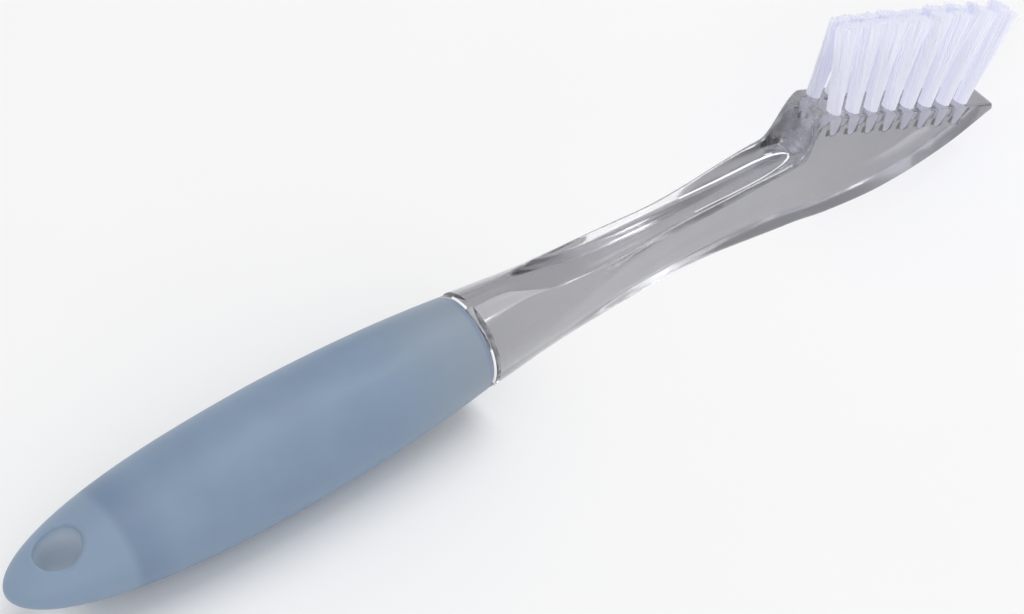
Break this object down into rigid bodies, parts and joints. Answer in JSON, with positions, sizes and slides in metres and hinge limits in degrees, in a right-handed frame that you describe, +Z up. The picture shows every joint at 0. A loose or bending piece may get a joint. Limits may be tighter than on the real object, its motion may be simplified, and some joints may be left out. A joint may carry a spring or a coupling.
{
  "type": "grout brush",
  "caption": "Hand brush with a clear fluted neck and wedge head, rows of stiff white tufts fanning forward, and a soft blue-grey grip with a hang hole.",
  "frame": {"origin": "on the surface that the brush lies on, under the middle of its box", "axes": "+X along the brush from the hang hole at the tail to the tip of the head, +Y across the head to the far row of tufts, +Z up out of the surface, the way the bristles stand"},
  "size_m": [0.238, 0.0258, 0.0451],
  "materials": {
    "clear_plastic": "clear moulded plastic, polished, faintly smoky",
    "soft_grip_rubber": "soft overmoulded rubber, matte, slightly translucent",
    "white_nylon": "bundled nylon filaments",
    "anchor_wire": "flat drawn wire"
  },
  "bodies": {
    "root": {"clear_handle": "clear_plastic", "soft_grip": "soft_grip_rubber", "tuft_near_1": "white_nylon", "tuft_near_2": "white_nylon", "tuft_near_3": "white_nylon", "tuft_near_4": "white_nylon", "tuft_near_5": "white_nylon", "tuft_near_6": "white_nylon", "tuft_near_7": "white_nylon", "tuft_near_8": "white_nylon", "tuft_far_1": "white_nylon", "tuft_far_2": "white_nylon", "tuft_far_3": "white_nylon", "tuft_far_4": "white_nylon", "tuft_far_5": "white_nylon", "tuft_far_6": "white_nylon", "tuft_far_7": "white_nylon", "tuft_far_8": "white_nylon", "anchor_near_1": "anchor_wire", "anchor_near_2": "anchor_wire", "anchor_near_3": "anchor_wire", "anchor_near_4": "anchor_wire", "anchor_near_5": "anchor_wire", "anchor_near_6": "anchor_wire", "anchor_near_7": "anchor_wire", "anchor_near_8": "anchor_wire", "anchor_far_1": "anchor_wire", "anchor_far_2": "anchor_wire", "anchor_far_3": "anchor_wire", "anchor_far_4": "anchor_wire", "anchor_far_5": "anchor_wire", "anchor_far_6": "anchor_wire", "anchor_far_7": "anchor_wire", "anchor_far_8": "anchor_wire"}
  },
  "joints": []
}
